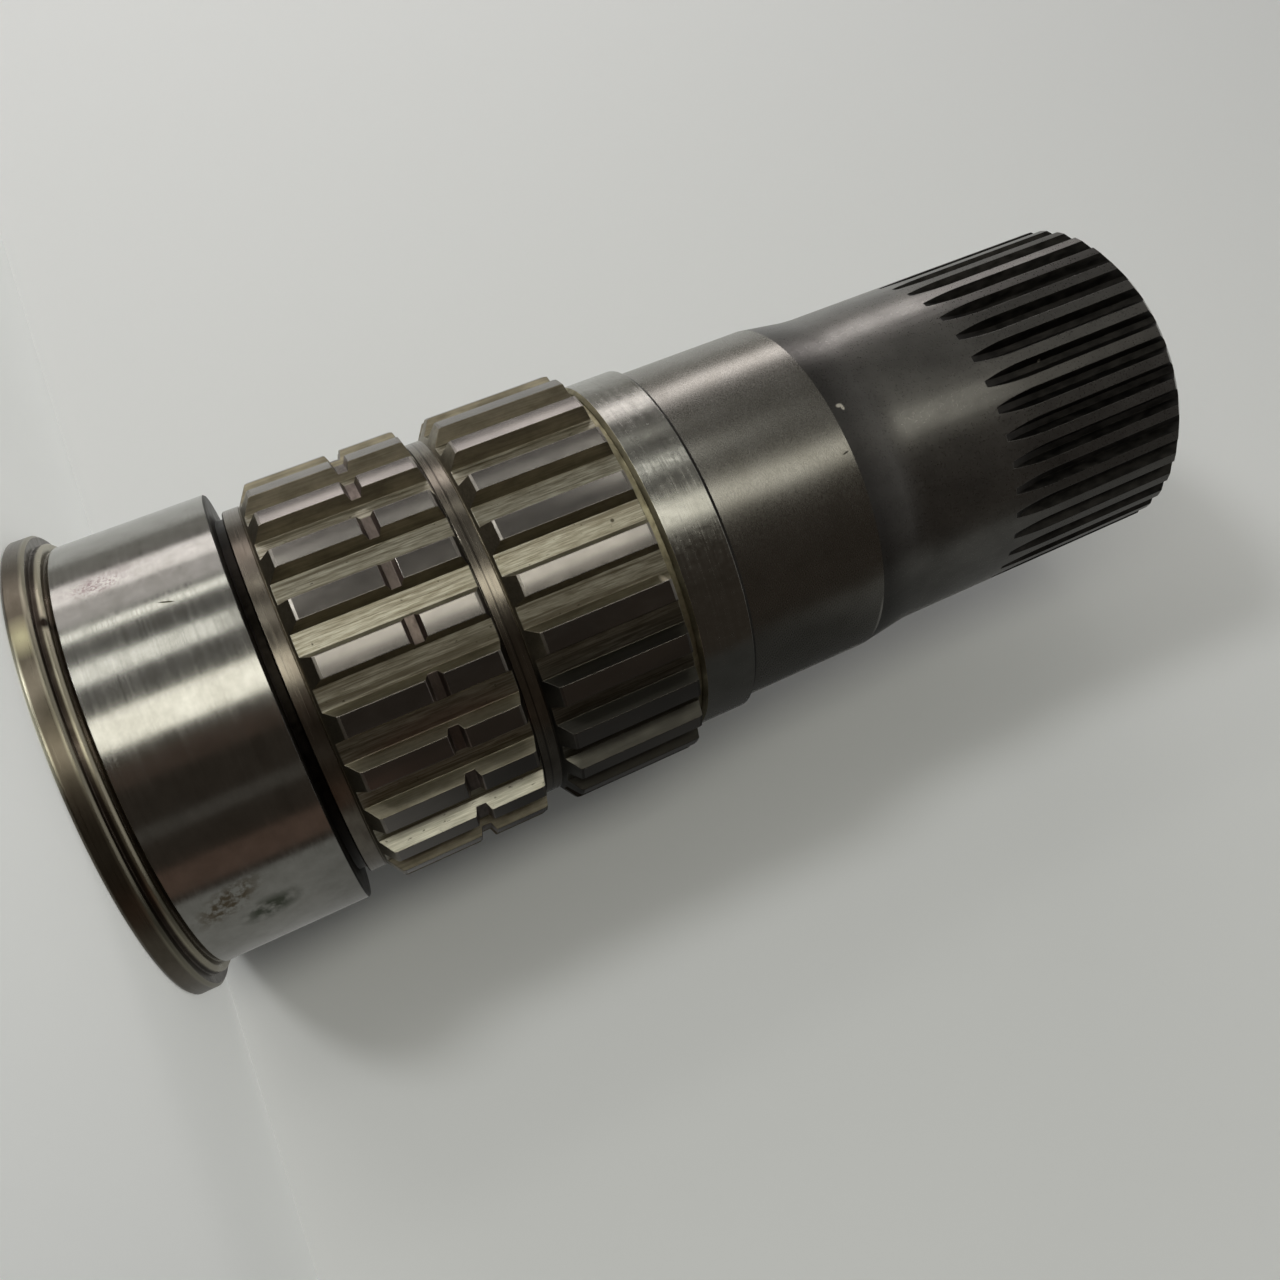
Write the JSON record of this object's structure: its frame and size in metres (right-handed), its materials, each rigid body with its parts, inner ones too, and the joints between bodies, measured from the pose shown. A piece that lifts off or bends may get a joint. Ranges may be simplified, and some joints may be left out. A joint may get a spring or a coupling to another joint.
{
  "type": "splined shaft",
  "caption": "Turned steel shaft with a collar, a ground bearing journal, a coarse spline in two bands with a retaining ring groove, a plain body and a fine end spline with cutter run-outs.",
  "frame": {"origin": "centre of the collar's end face, on the axis", "axes": "+Z along the shaft's axis, from the collar to the fine spline; a tooth of the coarse spline is centred on +X"},
  "size_m": [0.0974, 0.0974, 0.24],
  "materials": {
    "steel": "ground and machined steel, satin, with a blackened neck and fine spline"
  },
  "bodies": {
    "root": {"shaft": "steel"}
  },
  "joints": []
}
